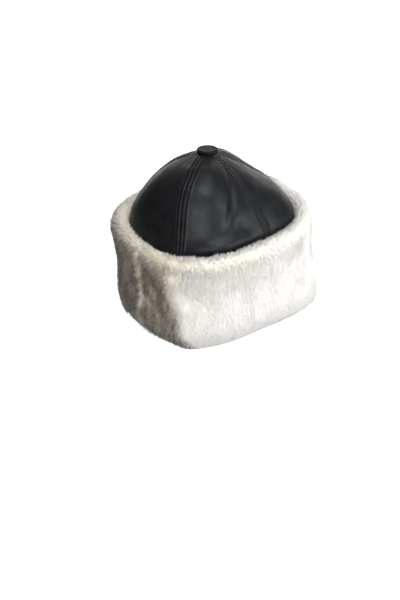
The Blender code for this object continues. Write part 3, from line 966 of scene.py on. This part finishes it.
def suede_material():
    """The leather's rough side, seen only from inside the hat."""
    made = Nodes("leather_rough_side", Base_Color=(0.035, 0.032, 0.030, 1.0), Roughness=0.9)
    stops = [(0.3, (0.020, 0.018, 0.017)), (0.7, (0.050, 0.046, 0.043))]
    made.feed(made.ramp(made.noise(400.0, 5.0, 0.7), stops), "Base Color")
    made.feed(made.bump(made.noise(1500.0, 4.0, 0.7), 0.5, 0.0004), "Normal")
    return made.material


def thread_material():
    """Black sewing thread with a fine twist."""
    colour = (0.006, 0.006, 0.0065, 1.0)
    made = Nodes("black_thread", Base_Color=colour, Roughness=0.8, Specular_IOR_Level=0.10)
    stops = [(0.3, (0.003, 0.003, 0.003)), (0.7, (0.009, 0.009, 0.010))]
    made.feed(made.ramp(made.noise(900.0, 2.0), stops), "Base Color")
    made.feed(made.bump(made.noise(2500.0, 2.0), 0.5, 0.0002), "Normal")
    return made.material


def wool_material():
    """Cream wool in its painted tones, with soft patches of warmer cream and fine streaks."""
    made = Nodes(
        "cream_wool",
        Base_Color=(0.86, 0.84, 0.80, 1.0),
        Roughness=0.95,
        Specular_IOR_Level=0.15,
        Subsurface_Weight=0.5,
        Subsurface_Radius=(1.0, 0.95, 0.88),
        Subsurface_Scale=0.0015,
        Sheen_Weight=0.25,
        Sheen_Roughness=0.5,
    )
    tint = made.add("ShaderNodeAttribute", attribute_name="tint").outputs["Color"]
    white = (1.0, 1.0, 1.0)
    patches = made.ramp(made.noise(28.0, 4.0, 0.6), [(0.30, (0.975, 0.968, 0.945)), (0.60, white)])
    streaks = made.ramp(made.noise(160.0, 3.0, 0.6), [(0.25, (0.965, 0.96, 0.95)), (0.60, white)])
    colour = made.mix("MULTIPLY", 1.0, made.mix("MULTIPLY", 1.0, tint, patches), streaks)
    made.feed(colour, "Base Color")
    return made.material


# Stage


def view_direction():
    """Unit vector from the hat towards the camera."""
    turn, lift = math.radians(VIEW_AZIMUTH), math.radians(VIEW_ELEVATION)
    return Vector((math.sin(turn) * math.cos(lift), -math.cos(turn) * math.cos(lift), math.sin(lift)))


def add_camera():
    """The photo's view, with the frame shifted so that the hat sits where the photo has it."""
    width, height = PICTURE_SIZE
    data = bpy.data.cameras.new("camera")
    data.sensor_width = 36.0
    data.lens = FOCAL_PIXELS * data.sensor_width / height
    data.shift_x = (width / 2 - AIM_PIXEL[0]) / height
    data.shift_y = (AIM_PIXEL[1] - height / 2) / height
    camera = bpy.data.objects.new("camera", data)
    aim = Vector(FRAME_SHIFT) + Vector((0.0, 0.0, AIM_HEIGHT))
    camera.location = aim + view_direction() * VIEW_DISTANCE
    camera.rotation_euler = (-view_direction()).to_track_quat("-Z", "Y").to_euler()
    bpy.context.scene.collection.objects.link(camera)
    bpy.context.scene.camera = camera


def add_lamp(name, angle, elevation, distance, size, power, colour):
    """A square soft lamp that shines on the hat from an angle and an elevation."""
    data = bpy.data.lights.new(name, "AREA")
    data.shape = "SQUARE"
    data.size = size
    data.energy = power
    data.color = colour
    lamp = bpy.data.objects.new(name, data)
    turn, lift = math.radians(angle), math.radians(elevation)
    way = Vector((math.cos(turn) * math.cos(lift), math.sin(turn) * math.cos(lift), math.sin(lift)))
    lamp.location = Vector((0.0, 0.0, LAMP_AIM_HEIGHT)) + way * distance
    lamp.rotation_euler = (-way).to_track_quat("-Z", "Y").to_euler()
    bpy.context.scene.collection.objects.link(lamp)


def add_floor():
    """A plain pale floor that rises into a wall far off. It throws no light back on the hat."""
    made = Nodes(
        "pale_floor",
        Base_Color=(0.93, 0.93, 0.93, 1.0),
        Roughness=0.9,
        Emission_Color=(1.0, 1.0, 1.0, 1.0),
        Emission_Strength=FLOOR_GLOW,
    )
    mesh = bpy.data.meshes.new("floor")
    turns = 2 * math.pi * np.arange(FLOOR_SIDES) / FLOOR_SIDES
    bends = np.radians(np.linspace(0.0, 90.0, 13))
    rings = [(0.8, 0.0), (2.5, 0.0)]
    rings += [(FLOOR_REACH + math.sin(b), 1.0 - math.cos(b)) for b in bends]
    rings += [(FLOOR_REACH + 1.0, WALL_HEIGHT)]
    points = [(reach * math.cos(t), reach * math.sin(t), level) for reach, level in rings for t in turns]
    faces = [tuple(range(FLOOR_SIDES))]
    faces += grid_faces(len(rings), FLOOR_SIDES, True, False)[:, ::-1].tolist()
    mesh.from_pydata(points, [], faces)
    mesh.materials.append(made.material)
    floor = bpy.data.objects.new("floor", mesh)
    floor.visible_diffuse = False
    floor.visible_glossy = False
    bpy.context.scene.collection.objects.link(floor)


def add_world():
    """Dim, slightly cool room light, the same from every side."""
    world = bpy.data.worlds.new("room")
    world.use_nodes = True
    background = world.node_tree.nodes["Background"]
    background.inputs["Color"].default_value = (0.92, 0.95, 1.0, 1.0)
    background.inputs["Strength"].default_value = ROOM_LIGHT
    bpy.context.scene.world = world


def main():
    """Stage, materials and all pieces."""
    add_camera()
    add_floor()
    add_world()
    for lamp in LAMPS:
        add_lamp(*lamp)
    bpy.context.scene.view_settings.view_transform = "Standard"

    leather = leather_material("black_nappa", (0.37, 0.46), 0.14)
    cover = leather_material("button_nappa", (0.46, 0.54), 0.05)
    suede = suede_material()
    thread = thread_material()
    wool = wool_material()
    seams = seam_angles()
    for number in range(GORES):
        add_gore(number, seams[number], seams[number + 1], leather, suede)
    add_stitches(seams, thread)
    add_button(cover)
    add_backing(wool)
    tufts = tuft_tips(np.random.default_rng(7))
    for number in range(FIBRE_PIECES):
        add_fibres(number, wool, tufts)
    add_stray_fibres(wool)


main()
